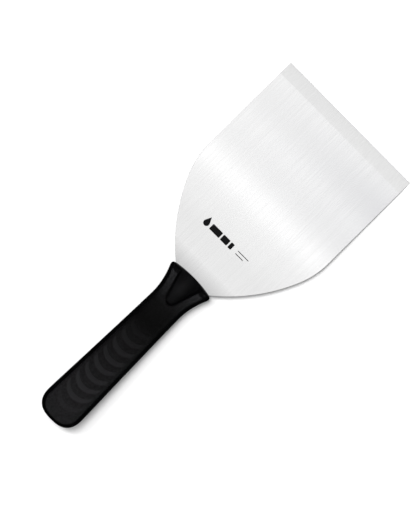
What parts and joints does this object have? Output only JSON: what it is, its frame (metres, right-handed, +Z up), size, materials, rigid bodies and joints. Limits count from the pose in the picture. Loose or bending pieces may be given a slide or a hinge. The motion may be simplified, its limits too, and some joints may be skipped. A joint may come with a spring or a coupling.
{
  "type": "ink knife",
  "caption": "Wide flat steel ink knife with a ground straight edge, its tang locked in a moulded handle with soft ribbed grip panels.",
  "frame": {"origin": "on the table, under the middle of the tool's box", "axes": "+X along the tool towards the working edge, +Y across the blade, +Z up; the tool lies on its front edge and on the front of the handle, so the blade slopes down to the edge by 2.7 degrees and its ground strip faces up"},
  "size_m": [0.2984, 0.12, 0.0247],
  "materials": {
    "blade_steel": "stainless steel, fine brushing along the tool, bright ground strip at the edge",
    "handle_plastic": "black, smooth, half gloss",
    "grip_rubber": "black, matte, fine spark-eroded grain with smoother crescent ribs"
  },
  "bodies": {
    "root": {"blade": "blade_steel", "handle_body": "handle_plastic", "grip_panel_upper": "grip_rubber", "grip_panel_lower": "grip_rubber"}
  },
  "joints": []
}
